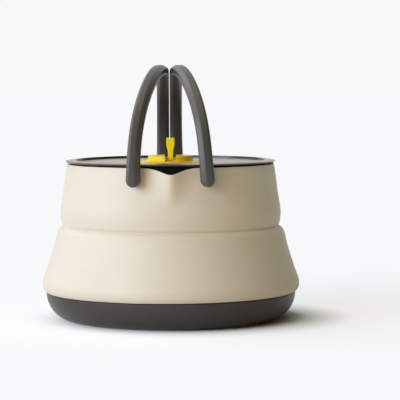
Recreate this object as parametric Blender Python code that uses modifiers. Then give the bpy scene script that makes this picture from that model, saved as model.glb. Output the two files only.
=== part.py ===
# Collapsible camping kettle: an aluminium pan, a silicone wall that folds, a stiff rim ring, two bail
# handles that meet over the lid, and a lid with a folding lift tab. Lengths are in metres, the kettle
# stands on z = 0 with its axis along Z, and its spout points to -Y.
import math

import bmesh
import bpy
from mathutils import Matrix, Vector

MM = 0.001

# Fits between pieces
FIT_GAP = 0.3 * MM
PIN_CLEARANCE = 0.25 * MM
CUT_OVERRUN = 2.0 * MM
WELD_DISTANCE = 0.03 * MM

# How finely round shapes are divided
ROUND_STEPS = 48
KNOB_STEPS = 32
PIN_SIDES = 16
SPOUT_STEPS = 12
SMOOTH_ANGLE = math.radians(35.0)

# Pan: a drawn aluminium pot bottom with a stepped-in collar that the silicone grips
PAN_HEIGHT = 16.4 * MM
PAN_CORNER_REACH = 15.6 * MM
PAN_CORNER_STEPS = 5
PAN_INSIDE_STEPS = 3
PAN_WALL = 1.6 * MM
PAN_TUCK = 0.2 * MM
COLLAR_RISE = 7.6 * MM
COLLAR_BEAD = 0.6 * MM
COLLAR_BEAD_SHARES = ((0.0, 1.0), (1.0, 0.86), (1.0, 0.72), (0.0, 0.62), (0.0, 0.0))
GROOVE_COUNT = 2
GROOVE_PITCH = 16.0 * MM
GROOVE_WIDTH = 2.4 * MM
GROOVE_DEPTH = 0.5 * MM
FIRST_GROOVE_RADIUS = 20.0 * MM

# Silicone wall: each level is stacked on the one below, and each radius steps out from the one above
WALL_THICKNESS = 2.0 * MM
FOLD_THINNING = 0.6 * MM
RIM_WALL_RADIUS = 60.8 * MM
BULGE_SWELL = 4.25 * MM
NECK_PINCH = 0.75 * MM
SHOULDER_STEP = 3.0 * MM
SKIRT_FLARE = 6.8 * MM
LIP_ROLL = 1.8 * MM
SEAM_TUCK = 2.1 * MM
LIP_RISE = 5.1 * MM
CREASE_RISE = 6.1 * MM
SHOULDER_RISE = 23.6 * MM
NECK_RISE = 5.9 * MM
BULGE_RISE = 6.4 * MM
RIM_RISE = 28.4 * MM

# Outline shares between two levels of the wall, as (share of the drop, share of the step in radius)
UPPER_WALL_SHARES = (
    (0.0, 0.0), (0.08, 0.1), (0.2, 0.25), (0.36, 0.4), (0.56, 0.54), (0.78, 0.79), (0.92, 0.95),
)
NECK_SHARES = ((0.0, 0.0), (0.5, 0.35))
SHOULDER_SHARES = ((0.0, 0.0), (0.3, 0.18), (0.62, 0.58))
SKIRT_SHARES = ((0.0, 0.0), (0.24, 0.16), (0.5, 0.41), (0.78, 0.75))
CREASE_SHARES = ((0.0, 0.0), (0.45, 0.68), (0.75, 0.95))
LIP_SHARES = ((0.0, 0.0), (0.38, 0.12), (0.72, 0.55), (1.0, 1.0))

# Spout: the front of the upper wall, pulled out to a V and dipped at its lip
SPOUT_REACH = 8.5 * MM
SPOUT_HALF_WIDTH = 13.2 * MM
SPOUT_DROP = 23.0 * MM
SPOUT_DIP = 3.6 * MM
SPOUT_SHARPNESS = 2.3
SPOUT_FADE_POWER = 1.3
SPOUT_DIP_POWER = 3.0
SPOUT_NARROWING_SHARE = 0.7
SPOUT_SECTOR = math.radians(15.0)

# Rim ring: a stiff nylon ring inside the top of the wall, which carries the handle pins and the lid
RING_HEIGHT = 11.6 * MM
RING_RIM_WALL = 3.6 * MM
RING_MOUTH_CHAMFER = 0.7 * MM
RING_SEAT_DEPTH = 6.0 * MM
RING_WALL = 3.0 * MM
RING_RELIEF_SHARE = 0.7
STRAINER_SLOTS = 5
STRAINER_PITCH = 3.8 * MM
STRAINER_WIDTH = 1.9 * MM
STRAINER_HEIGHT = 3.6 * MM
STRAINER_SILL = 1.3 * MM

# Handle pivots: a steel pin in a boss of the rim ring, with a thin washer under the handle's foot
PIVOT_DROP = 7.1 * MM
PIVOT_STANDOFF = 2.3 * MM
BOSS_RADIUS = 3.3 * MM
WASHER_THICKNESS = 0.8 * MM
WASHER_RADIUS = 3.3 * MM
PIN_RADIUS = 1.5 * MM
PIN_SEAT_DEPTH = 5.2 * MM
PIN_FOOT_DEPTH = 3.8 * MM

# Handles: each rises from a front foot, leans to the middle plane, and comes straight down behind
HANDLE_RISE = 61.5 * MM
HANDLE_WIDTH = 7.4 * MM
HANDLE_DEPTH = 6.2 * MM
HANDLE_PARTING = 0.5 * MM
HANDLE_FRONT_SPREAD = 20.8 * MM
HANDLE_REAR_SPLAY = 0.55 * MM
HANDLE_ARCH_POWER = 2.3
HANDLE_LEAN_POWER = 1.5
HANDLE_MEET_SHARE = 0.33
HANDLE_STATIONS = 22
TANGENT_STEP_SHARE = 0.25
FOOT_RADIUS = 3.85 * MM
FOOT_END_SHARES = (0.35, 0.65, 0.87, 0.98)
# The bar's section, as shares of half its width and half its depth. The third and fourth points bound
# the broad chamfer on the side that faces the other handle.
GRIP_SECTION_SHARES = (
    (0.7, 1.0), (0.95, 0.78), (1.0, 0.4), (1.0, -0.45), (0.8, -0.85), (0.45, -1.0),
    (-0.4, -1.0), (-0.8, -0.85), (-1.0, -0.5), (-1.0, 0.3), (-0.85, 0.52), (-0.12, 1.0),
)

# Lid: a flange that covers the wall's edge, a sunken panel, and a skirt with a seal
LID_OVERHANG = 0.7 * MM
FLANGE_THICKNESS = 1.3 * MM
FLANGE_EDGE = 0.4 * MM
FLANGE_WIDTH = 9.5 * MM
PANEL_RECESS = 1.5 * MM
PANEL_THICKNESS = 1.6 * MM
PANEL_STEP_SLOPE = 1.0 * MM
SKIRT_DEPTH = 5.7 * MM
SKIRT_WALL = 3.2 * MM
SKIRT_CLEARANCE = 0.6 * MM
SEAL_GROOVE_DROP = 1.5 * MM
SEAL_HEIGHT = 2.2 * MM
SEAL_GROOVE_DEPTH = 1.4 * MM

# Knob: a yellow plate with two half-moon bosses, and a tab that folds down into the slot between them
PLATE_RADIUS = 19.8 * MM
PLATE_THICKNESS = 1.7 * MM
HALF_MOON_RADIUS = 13.2 * MM
HALF_MOON_HEIGHT = 2.1 * MM
EDGE_ROUNDING = 0.35 * MM
TAB_SLOT_WIDTH = 6.5 * MM
TAB_SLOT_SINK = 1.1 * MM
TAB_EYE_RADIUS = 1.4 * MM
TAB_EYE_STEPS = 6
TAB_PIN_RADIUS = 0.6 * MM
TAB_PIN_OFFSET = 1.0 * MM
TAB_PIN_REACH = 8.0 * MM
TAB_PIN_RECESS = 1.7 * MM
TAB_HEIGHT = 11.9 * MM
TAB_DEPTH = 5.0 * MM
TAB_STEM_WIDTH = 3.3 * MM
TAB_HEAD_WIDTH = 5.0 * MM
# The tab's front outline: (share of the height, share of the way from the stem's width to the head's)
TAB_OUTLINE_SHARES = ((0.0, 0.0), (0.42, 0.0), (0.52, 0.3), (0.62, 0.85), (0.7, 1.0), (1.0, 1.0))
SCREW_SPREAD = 8.0 * MM
SCREW_OFFSET = 5.5 * MM
SCREW_RADIUS = 1.2 * MM
SCREW_BITE = 2.6 * MM
SCREW_HEAD_RADIUS = 2.5 * MM
SCREW_HEAD_HEIGHT = 1.5 * MM

# Levels and radii worked out from the sizes above
SEAM_Z = PAN_HEIGHT + FIT_GAP
LIP_Z = SEAM_Z + LIP_RISE
CREASE_Z = LIP_Z + CREASE_RISE
SHOULDER_Z = CREASE_Z + SHOULDER_RISE
NECK_Z = SHOULDER_Z + NECK_RISE
BULGE_Z = NECK_Z + BULGE_RISE
RIM_Z = BULGE_Z + RIM_RISE
BULGE_RADIUS = RIM_WALL_RADIUS + BULGE_SWELL
NECK_RADIUS = BULGE_RADIUS - NECK_PINCH
SHOULDER_RADIUS = NECK_RADIUS + SHOULDER_STEP
CREASE_RADIUS = SHOULDER_RADIUS + SKIRT_FLARE
LIP_RADIUS = CREASE_RADIUS + LIP_ROLL
SEAM_RADIUS = LIP_RADIUS - SEAM_TUCK
PAN_RADIUS = SEAM_RADIUS - PAN_TUCK
COLLAR_RADIUS = SEAM_RADIUS - WALL_THICKNESS - FIT_GAP
RING_MOUTH_RADIUS = RIM_WALL_RADIUS - WALL_THICKNESS - FIT_GAP - RING_RIM_WALL
PIVOT_Z = RIM_Z - PIVOT_DROP
PIVOT_STACK = WASHER_THICKNESS + FIT_GAP + FIT_GAP
LID_Z = RIM_Z + FIT_GAP
LID_TOP_Z = LID_Z + FLANGE_THICKNESS
PANEL_Z = LID_TOP_Z - PANEL_RECESS
LID_RADIUS = RIM_WALL_RADIUS + LID_OVERHANG
PANEL_RADIUS = LID_RADIUS - FLANGE_WIDTH
SKIRT_RADIUS = RING_MOUTH_RADIUS - SKIRT_CLEARANCE
KNOB_Z = PANEL_Z + FIT_GAP
PLATE_Z = KNOB_Z + PLATE_THICKNESS
SLOT_FLOOR_Z = PLATE_Z - TAB_SLOT_SINK
TAB_PIN_Z = SLOT_FLOOR_Z + FIT_GAP + TAB_EYE_RADIUS


def clear_scene():
    for obj in list(bpy.data.objects):
        bpy.data.objects.remove(obj, do_unlink=True)


def new_collection(name):
    collection = bpy.data.collections.new(name)
    bpy.context.scene.collection.children.link(collection)
    return collection


def new_material(name, colour, roughness, metallic):
    material = bpy.data.materials.new(name)
    material.use_nodes = True
    shader = material.node_tree.nodes["Principled BSDF"]
    shader.inputs["Base Color"].default_value = (*colour, 1.0)
    shader.inputs["Roughness"].default_value = roughness
    shader.inputs["Metallic"].default_value = metallic
    return material


clear_scene()
PARTS = new_collection("collapsible_kettle")
CUTTERS = new_collection("cutters")
ANODISED = new_material("hard_anodised_aluminium", (0.045, 0.044, 0.042), 0.42, 0.6)
SILICONE = new_material("bone_white_silicone", (0.76, 0.7, 0.57), 0.6, 0.0)
NYLON = new_material("dark_grey_nylon", (0.055, 0.055, 0.05), 0.5, 0.0)
YELLOW = new_material("yellow_nylon", (0.9, 0.65, 0.02), 0.4, 0.0)
STEEL = new_material("stainless_steel", (0.6, 0.6, 0.6), 0.3, 1.0)
SEAL = new_material("black_silicone", (0.03, 0.03, 0.03), 0.7, 0.0)


def add_object(name, mesh, material, collection=None):
    obj = bpy.data.objects.new(name, mesh)
    if material:
        mesh.materials.append(material)
    (collection or PARTS).objects.link(obj)
    return obj


def mesh_from(name, shape):
    """Turns a finished bmesh into a mesh whose faces point out and whose round faces shade smooth."""
    bmesh.ops.recalc_face_normals(shape, faces=shape.faces)
    if shape.calc_volume(signed=True) < 0.0:
        bmesh.ops.reverse_faces(shape, faces=shape.faces)
    mesh = bpy.data.meshes.new(name)
    shape.to_mesh(mesh)
    shape.free()
    mesh.shade_smooth()
    mesh.set_sharp_from_angle(angle=SMOOTH_ANGLE)
    return mesh


def turned(name, outline, material, steps=ROUND_STEPS, centre=(0.0, 0.0), collection=None):
    """A turned piece. The outline is (radius, height) points that run down its outer side; it is closed
    into a loop unless both of its ends lie on the axis."""
    shape = bmesh.new()
    points = [shape.verts.new((radius, 0.0, height)) for radius, height in outline]
    for first, second in zip(points, points[1:]):
        shape.edges.new((first, second))
    if outline[0][0] > 0.0 or outline[-1][0] > 0.0:
        shape.edges.new((points[-1], points[0]))
    mesh = bpy.data.meshes.new(name)
    shape.to_mesh(mesh)
    shape.free()
    obj = add_object(name, mesh, material, collection)
    obj.location = (centre[0], centre[1], 0.0)
    screw = obj.modifiers.new("turn", "SCREW")
    screw.steps = steps
    screw.render_steps = steps
    screw.use_merge_vertices = True
    screw.merge_threshold = WELD_DISTANCE
    return obj


def rod(name, start, end, radius, material=None, sides=PIN_SIDES):
    """A cylinder from one point to another. With no material it is a cutter or an added boss."""
    shape = bmesh.new()
    length = (end - start).length
    bmesh.ops.create_cone(
        shape, cap_ends=True, segments=sides, radius1=radius, radius2=radius, depth=length
    )
    turn = (end - start).to_track_quat("Z", "Y").to_matrix().to_4x4()
    shape.transform(Matrix.Translation((start + end) / 2) @ turn)
    obj = add_object(name, mesh_from(name, shape), material, None if material else CUTTERS)
    if not material:
        hide_helper(obj)
    return obj


def block(name, low, high):
    """A box cutter between two corners."""
    shape = bmesh.new()
    size = high - low
    bmesh.ops.create_cube(shape, size=1.0)
    shape.transform(Matrix.Translation((low + high) / 2) @ Matrix.Diagonal((*size, 1.0)))
    obj = add_object(name, mesh_from(name, shape), None, CUTTERS)
    hide_helper(obj)
    return obj


def hide_helper(obj):
    obj.hide_render = True
    obj.display_type = "WIRE"


def combine(obj, other, operation):
    boolean = obj.modifiers.new(other.name, "BOOLEAN")
    boolean.object = other
    boolean.operation = operation
    boolean.solver = "EXACT"


def set_origin(obj, point):
    """Moves an object's origin to a point on its joint's axis and leaves its shape where it is."""
    obj.data.transform(Matrix.Translation(Vector(obj.location) - point))
    obj.location = point


def new_pivot(name, point):
    pivot = bpy.data.objects.new(name, None)
    pivot.empty_display_size = FOOT_RADIUS
    pivot.location = point
    PARTS.objects.link(pivot)
    return pivot


def carry(pivot, pieces):
    bpy.context.view_layer.update()
    for piece in pieces:
        piece.parent = pivot
        piece.matrix_parent_inverse = pivot.matrix_world.inverted()


def between(top, bottom, shares):
    """Points from one (radius, height) level of the wall towards the next."""
    return [
        (top[0] + (bottom[0] - top[0]) * out, top[1] + (bottom[1] - top[1]) * down)
        for down, out in shares
    ]


def wall_outline():
    """The outside of the whole silicone wall, from the rim down to the seam with the pan."""
    rim = (RIM_WALL_RADIUS, RIM_Z)
    bulge = (BULGE_RADIUS, BULGE_Z)
    neck = (NECK_RADIUS, NECK_Z)
    shoulder = (SHOULDER_RADIUS, SHOULDER_Z)
    crease = (CREASE_RADIUS, CREASE_Z)
    lip = (LIP_RADIUS, LIP_Z)
    seam = (SEAM_RADIUS, SEAM_Z)
    return (
        between(rim, bulge, UPPER_WALL_SHARES)
        + between(bulge, neck, NECK_SHARES)
        + between(neck, shoulder, SHOULDER_SHARES)
        + between(shoulder, crease, SKIRT_SHARES)
        + between(crease, lip, CREASE_SHARES)
        + between(lip, seam, LIP_SHARES)
    )


def radius_at(outline, height):
    """The radius of an outline that falls steadily, at one height."""
    for (upper_radius, upper), (lower_radius, lower) in zip(outline, outline[1:]):
        if lower <= height <= upper:
            return upper_radius + (lower_radius - upper_radius) * (upper - height) / (upper - lower)
    return outline[0][0] if height > outline[0][1] else outline[-1][0]


def stretch(outline, top, bottom):
    """The part of a falling outline between two heights."""
    inside = [point for point in outline if bottom + FIT_GAP < point[1] < top - FIT_GAP]
    return [(radius_at(outline, top), top), *inside, (radius_at(outline, bottom), bottom)]


def inset(outline, top_thickness, middle_thickness, bottom_thickness):
    """The inner side of a wall, its thickness taken square to the outline."""
    inner = []
    last = len(outline) - 1
    for index, (radius, height) in enumerate(outline):
        before = outline[max(index - 1, 0)]
        after = outline[min(index + 1, last)]
        run = Vector((after[0] - before[0], after[1] - before[1])).normalized()
        thickness = middle_thickness
        if index == 0:
            thickness = top_thickness
        if index == last:
            thickness = bottom_thickness
        flat_end = index in (0, last)
        rise = 0.0 if flat_end else run.x * thickness
        inner.append((radius - thickness * (1.0 if flat_end else -run.y), height - rise))
    return inner


def ring_outline(outline, top, bottom, top_thickness, bottom_thickness):
    outer = stretch(outline, top, bottom)
    inner = inset(outer, top_thickness, WALL_THICKNESS, bottom_thickness)
    return outer + inner[::-1]


def corner_points(radius, height, reach, steps):
    """A pan's rounded lower corner, a quarter ellipse, from its side down to its flat bottom."""
    points = []
    for step in range(1, steps + 1):
        turn = math.pi / 2 * step / steps
        points.append((radius - reach + reach * math.cos(turn), height * (1.0 - math.sin(turn))))
    return points


def groove_points():
    """The stove grooves under the pan, from the outermost to the innermost."""
    points = []
    for number in reversed(range(GROOVE_COUNT)):
        middle = FIRST_GROOVE_RADIUS + number * GROOVE_PITCH
        outer = middle + GROOVE_WIDTH / 2
        inner = middle - GROOVE_WIDTH / 2
        points += [(outer, 0.0), (outer - GROOVE_DEPTH, GROOVE_DEPTH)]
        points += [(inner + GROOVE_DEPTH, GROOVE_DEPTH), (inner, 0.0)]
    return points


def collar_points(clearance=0.0):
    """The collar's outer side with its bead, top to bottom. The silicone uses it with a clearance."""
    return [
        (COLLAR_RADIUS + COLLAR_BEAD * out + clearance, PAN_HEIGHT + COLLAR_RISE * up)
        for out, up in COLLAR_BEAD_SHARES
    ]


def make_base_pan():
    collar_top = PAN_HEIGHT + COLLAR_RISE
    inside_radius = COLLAR_RADIUS - PAN_WALL
    inside_corner = corner_points(
        inside_radius, PAN_HEIGHT - PAN_WALL, PAN_CORNER_REACH - PAN_WALL, PAN_INSIDE_STEPS
    )
    outline = [(0.0, PAN_WALL)]
    outline += [(radius, height + PAN_WALL) for radius, height in reversed(inside_corner)]
    outline += [(inside_radius, PAN_HEIGHT), (inside_radius, collar_top)]
    outline += collar_points()
    outline += [(PAN_RADIUS, PAN_HEIGHT)]
    outline += corner_points(PAN_RADIUS, PAN_HEIGHT, PAN_CORNER_REACH, PAN_CORNER_STEPS)
    outline += groove_points()
    outline += [(0.0, 0.0)]
    return turned("base_pan", outline, ANODISED)


def make_lower_wall_band(outline):
    """The thick foot of the wall, moulded round the pan's collar."""
    top = CREASE_Z - FIT_GAP / 2
    outer = stretch(outline, top, SEAM_Z)
    thin = WALL_THICKNESS - FOLD_THINNING
    grip = [(radius, height + FIT_GAP) for radius, height in collar_points(FIT_GAP)]
    inner = [(outer[0][0] - thin, top), (COLLAR_RADIUS + FIT_GAP, grip[0][1] + FIT_GAP)]
    return turned("lower_wall_band", outer + (inner + grip[1:])[::-1], SILICONE)


def make_middle_wall_fold(outline):
    """The band that rolls over when the kettle is pushed flat, thinner at both of its folds."""
    thin = WALL_THICKNESS - FOLD_THINNING
    loop = ring_outline(outline, NECK_Z - FIT_GAP / 2, CREASE_Z + FIT_GAP / 2, thin, thin)
    return turned("middle_wall_fold", loop, SILICONE)


def spout_shift(radius, angle, height):
    """How far a point of the upper wall moves out and down to form the spout."""
    across = abs(radius * math.sin(angle))
    fall = min(max((RIM_Z - height) / SPOUT_DROP, 0.0), 1.0)
    half_width = SPOUT_HALF_WIDTH * (1.0 - SPOUT_NARROWING_SHARE * fall)
    if across >= half_width or fall >= 1.0:
        return 0.0, 0.0
    crest = math.cos(math.pi / 2 * across / half_width) ** SPOUT_SHARPNESS
    out = SPOUT_REACH * crest * (1.0 - fall) ** SPOUT_FADE_POWER
    down = SPOUT_DIP * crest * (1.0 - fall) ** SPOUT_DIP_POWER
    return out, down


def make_upper_wall(outline):
    """The upper wall, spun in fine steps round the spout and in even steps elsewhere, then drawn out."""
    thin = WALL_THICKNESS - FOLD_THINNING
    loop = ring_outline(outline, RIM_Z, NECK_Z + FIT_GAP / 2, WALL_THICKNESS, thin)
    shape = bmesh.new()
    front = Matrix.Rotation(-math.pi / 2 - SPOUT_SECTOR, 3, "Z")
    points = [shape.verts.new(front @ Vector((radius, 0.0, height))) for radius, height in loop]
    for index, point in enumerate(points):
        shape.edges.new((point, points[index - 1]))
    rim = list(shape.verts) + list(shape.edges)
    back_steps = round(ROUND_STEPS * (1.0 - SPOUT_SECTOR / math.pi))
    front_angle = 2 * SPOUT_SECTOR
    for angle, steps in ((front_angle, SPOUT_STEPS), (2 * math.pi - front_angle, back_steps)):
        spun = bmesh.ops.spin(shape, geom=rim, cent=(0, 0, 0), axis=(0, 0, 1), angle=angle, steps=steps)
        rim = spun["geom_last"]
    bmesh.ops.remove_doubles(shape, verts=shape.verts, dist=WELD_DISTANCE)
    for vert in shape.verts:
        radius = math.hypot(vert.co.x, vert.co.y)
        angle = math.atan2(vert.co.x, -vert.co.y)
        if abs(angle) < math.pi / 2:
            out, down = spout_shift(radius, angle, vert.co.z)
            vert.co.x *= 1.0 + out / radius * (1.0 - abs(math.sin(angle)))
            vert.co.y *= 1.0 + out / radius
            vert.co.z -= down
    return add_object("upper_wall", mesh_from("upper_wall", shape), SILICONE)


def make_rim_ring(outline):
    """The ring's outside follows the inside of the wall, and its mouth takes the lid's skirt."""
    bottom = RIM_Z - RING_HEIGHT
    outer = [
        (radius - WALL_THICKNESS - FIT_GAP, height)
        for radius, height in stretch(outline, RIM_Z, bottom)
    ]
    relief_radius = outer[-1][0] - RING_WALL
    seat_bottom = RIM_Z - RING_SEAT_DEPTH
    inner = [
        (RING_MOUTH_RADIUS + RING_MOUTH_CHAMFER, RIM_Z),
        (RING_MOUTH_RADIUS, RIM_Z - RING_MOUTH_CHAMFER),
        (RING_MOUTH_RADIUS, seat_bottom),
        (relief_radius, seat_bottom + (bottom - seat_bottom) * RING_RELIEF_SHARE),
        (relief_radius, bottom),
    ]
    return turned("rim_ring", outer + inner[::-1], NYLON)


def cut_strainer(ring):
    """Upright slots through the ring behind the spout, which hold tea leaves back."""
    bottom = RIM_Z - RING_HEIGHT + STRAINER_SILL
    for number in range(STRAINER_SLOTS):
        middle = (number - (STRAINER_SLOTS - 1) / 2) * STRAINER_PITCH
        low = Vector((middle - STRAINER_WIDTH / 2, -RIM_WALL_RADIUS - CUT_OVERRUN, bottom))
        high = Vector((middle + STRAINER_WIDTH / 2, -RING_MOUTH_RADIUS / 2, bottom + STRAINER_HEIGHT))
        combine(ring, block(f"strainer_cut_{number}", low, high), "DIFFERENCE")


class Pivots:
    """The front and rear pivot of one handle, and the fold axis through them. Side is -1 or 1."""

    def __init__(self, outline, side):
        wall = radius_at(outline, PIVOT_Z) + PIVOT_STANDOFF
        rear_x = HANDLE_WIDTH / 2 + HANDLE_PARTING / 2 + HANDLE_REAR_SPLAY
        front_y = -math.sqrt(wall**2 - HANDLE_FRONT_SPREAD**2) - HANDLE_DEPTH / 2
        rear_y = math.sqrt(wall**2 - rear_x**2) + HANDLE_DEPTH / 2
        self.side = side
        self.front = Vector((side * HANDLE_FRONT_SPREAD, front_y, PIVOT_Z))
        self.rear = Vector((side * rear_x, rear_y, PIVOT_Z))
        self.axis = (self.rear - self.front).normalized()

    def end(self, place):
        """The middle of the foot at one end, and the direction from it into the kettle."""
        if place == "front":
            return self.front, self.axis
        return self.rear, -self.axis


def side_name(side):
    return "left" if side < 0 else "right"


def add_pivot(pivots, place, ring, wall):
    """One pivot: a boss on the ring, its pin and washer, and the hole that the boss needs in the wall."""
    middle, inward = pivots.end(place)
    label = f"{place}_{side_name(pivots.side)}"
    foot_face = middle + inward * HANDLE_DEPTH / 2
    boss_face = foot_face + inward * PIVOT_STACK
    boss_root = boss_face + inward * PIN_SEAT_DEPTH
    far_out = middle - inward * HANDLE_DEPTH
    combine(ring, rod(f"boss_{label}", boss_face, boss_root, BOSS_RADIUS), "UNION")
    seat_end = boss_face + inward * (PIN_SEAT_DEPTH - FIT_GAP)
    bore = rod(f"pin_seat_{label}", far_out, seat_end, PIN_RADIUS + PIN_CLEARANCE)
    combine(ring, bore, "DIFFERENCE")
    hole_end = boss_root + inward * CUT_OVERRUN
    hole = rod(f"wall_hole_{label}", far_out, hole_end, BOSS_RADIUS + FIT_GAP)
    combine(wall, hole, "DIFFERENCE")
    pin_start = foot_face - inward * (PIN_FOOT_DEPTH - FIT_GAP)
    pin = rod(f"pivot_pin_{label}", pin_start, seat_end - inward * FIT_GAP, PIN_RADIUS, STEEL)
    washer_start = foot_face + inward * FIT_GAP
    washer_end = washer_start + inward * WASHER_THICKNESS
    washer = rod(f"pivot_washer_{label}", washer_start, washer_end, WASHER_RADIUS, STEEL)
    combine(washer, bore, "DIFFERENCE")
    return [pin, washer]


def handle_centre(pivots, turn):
    """The middle of the handle's bar, from its front pivot at turn 0 over the lid to its rear at 1."""
    angle = math.pi * turn
    middle_y = (pivots.front.y + pivots.rear.y) / 2
    half_span = (pivots.rear.y - pivots.front.y) / 2
    along = abs(math.cos(angle)) ** (2 / HANDLE_ARCH_POWER)
    rise = math.sin(angle) ** (2 / HANDLE_ARCH_POWER) if 0.0 < turn < 1.0 else 0.0
    y = middle_y - math.copysign(half_span * along, math.cos(angle))
    meet_y = pivots.rear.y * HANDLE_MEET_SHARE
    lean = max((meet_y - y) / (meet_y - pivots.front.y), 0.0) ** HANDLE_LEAN_POWER
    rear_x = abs(pivots.rear.x) - HANDLE_REAR_SPLAY * rise
    x = rear_x + (abs(pivots.front.x) - abs(pivots.rear.x)) * lean
    return Vector((pivots.side * x, y, PIVOT_Z + HANDLE_RISE * rise)), rise


def handle_sections(pivots):
    """Middle, width direction, depth direction and width share of each section along the handle."""
    foot_across = Vector((pivots.axis.y, -pivots.axis.x, 0.0)) * pivots.side
    down = Vector((0.0, 0.0, -1.0))
    sections = []
    for share in reversed(FOOT_END_SHARES):
        width = math.sqrt(1.0 - share**2)
        sections.append((pivots.front + down * FOOT_RADIUS * share, foot_across, -pivots.axis, width))
    for station in range(HANDLE_STATIONS + 1):
        turn = station / HANDLE_STATIONS
        middle, rise = handle_centre(pivots, turn)
        step = TANGENT_STEP_SHARE / HANDLE_STATIONS
        ahead = handle_centre(pivots, min(turn + step, 1.0))[0]
        behind = handle_centre(pivots, max(turn - step, 0.0))[0]
        run = (ahead - behind).normalized()
        across = foot_across.lerp(Vector((pivots.side, 0.0, 0.0)), rise)
        across = (across - run * across.dot(run)).normalized()
        outward = run.cross(across) * -pivots.side
        sections.append((middle, across, outward, 1.0))
    for share in FOOT_END_SHARES:
        width = math.sqrt(1.0 - share**2)
        sections.append((pivots.rear + down * FOOT_RADIUS * share, foot_across, pivots.axis, width))
    return sections


def make_handle(pivots):
    """A bar of changing direction, lofted through its sections, with a blind bore in each foot."""
    name = f"{side_name(pivots.side)}_handle"
    shape = bmesh.new()
    rings = []
    for middle, across, outward, width in handle_sections(pivots):
        ring = []
        for wide, deep in GRIP_SECTION_SHARES:
            sideways = across * (wide * width * HANDLE_WIDTH / 2)
            ring.append(shape.verts.new(middle + sideways + outward * (deep * HANDLE_DEPTH / 2)))
        rings.append(ring)
    for first, second in zip(rings, rings[1:]):
        for index in range(len(first)):
            shape.faces.new((first[index - 1], first[index], second[index], second[index - 1]))
    shape.faces.new(rings[0])
    shape.faces.new(rings[-1][::-1])
    handle = add_object(name, mesh_from(name, shape), NYLON)
    for place in ("front", "rear"):
        middle, inward = pivots.end(place)
        foot_face = middle + inward * HANDLE_DEPTH / 2
        start = foot_face - inward * PIN_FOOT_DEPTH
        end = foot_face + inward * CUT_OVERRUN
        bore = rod(f"{name}_{place}_bore", start, end, PIN_RADIUS + PIN_CLEARANCE)
        combine(handle, bore, "DIFFERENCE")
    set_origin(handle, pivots.front)
    return handle


def make_lid_disc():
    skirt_bottom = LID_Z - SKIRT_DEPTH
    groove_top = LID_Z - SEAL_GROOVE_DROP
    groove_bottom = groove_top - SEAL_HEIGHT - FIT_GAP - FIT_GAP
    groove_radius = SKIRT_RADIUS - SEAL_GROOVE_DEPTH
    outline = [
        (0.0, PANEL_Z),
        (PANEL_RADIUS - PANEL_STEP_SLOPE, PANEL_Z),
        (PANEL_RADIUS, LID_TOP_Z),
        (LID_RADIUS - FLANGE_EDGE, LID_TOP_Z),
        (LID_RADIUS, LID_TOP_Z - FLANGE_EDGE),
        (LID_RADIUS, LID_Z),
        (SKIRT_RADIUS, LID_Z),
        (SKIRT_RADIUS, groove_top),
        (groove_radius, groove_top),
        (groove_radius, groove_bottom),
        (SKIRT_RADIUS, groove_bottom),
        (SKIRT_RADIUS, skirt_bottom),
        (SKIRT_RADIUS - SKIRT_WALL, skirt_bottom),
        (SKIRT_RADIUS - SKIRT_WALL, PANEL_Z - PANEL_THICKNESS),
        (0.0, PANEL_Z - PANEL_THICKNESS),
    ]
    return turned("lid_disc", outline, NYLON)


def make_lid_gasket():
    """A seal in the skirt's groove. Its lip stands out of the groove to the ring's mouth."""
    inner = SKIRT_RADIUS - SEAL_GROOVE_DEPTH + FIT_GAP
    lip = RING_MOUTH_RADIUS - FIT_GAP
    top = LID_Z - SEAL_GROOVE_DROP - FIT_GAP
    bottom = top - SEAL_HEIGHT
    outer = SKIRT_RADIUS - FIT_GAP
    outline = [(outer, top), (lip, (top + bottom) / 2), (outer, bottom), (inner, bottom), (inner, top)]
    return turned("lid_gasket", outline, SEAL)


def make_knob_base():
    top = PLATE_Z + HALF_MOON_HEIGHT
    outline = [
        (0.0, top),
        (HALF_MOON_RADIUS - EDGE_ROUNDING, top),
        (HALF_MOON_RADIUS, top - EDGE_ROUNDING),
        (HALF_MOON_RADIUS, PLATE_Z),
        (PLATE_RADIUS - EDGE_ROUNDING, PLATE_Z),
        (PLATE_RADIUS, PLATE_Z - EDGE_ROUNDING),
        (PLATE_RADIUS, KNOB_Z),
        (0.0, KNOB_Z),
    ]
    knob = turned("knob_base", outline, YELLOW, KNOB_STEPS)
    slot_low = Vector((-TAB_SLOT_WIDTH / 2, -HALF_MOON_RADIUS - FIT_GAP, SLOT_FLOOR_Z))
    slot_high = Vector((TAB_SLOT_WIDTH / 2, HALF_MOON_RADIUS + FIT_GAP, top + CUT_OVERRUN))
    combine(knob, block("tab_slot", slot_low, slot_high), "DIFFERENCE")
    start = Vector((-TAB_PIN_REACH - FIT_GAP, TAB_PIN_OFFSET, TAB_PIN_Z))
    end = Vector((HALF_MOON_RADIUS + CUT_OVERRUN, TAB_PIN_OFFSET, TAB_PIN_Z))
    combine(knob, rod("tab_pin_bore", start, end, TAB_PIN_RADIUS + PIN_CLEARANCE), "DIFFERENCE")
    return knob


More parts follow.
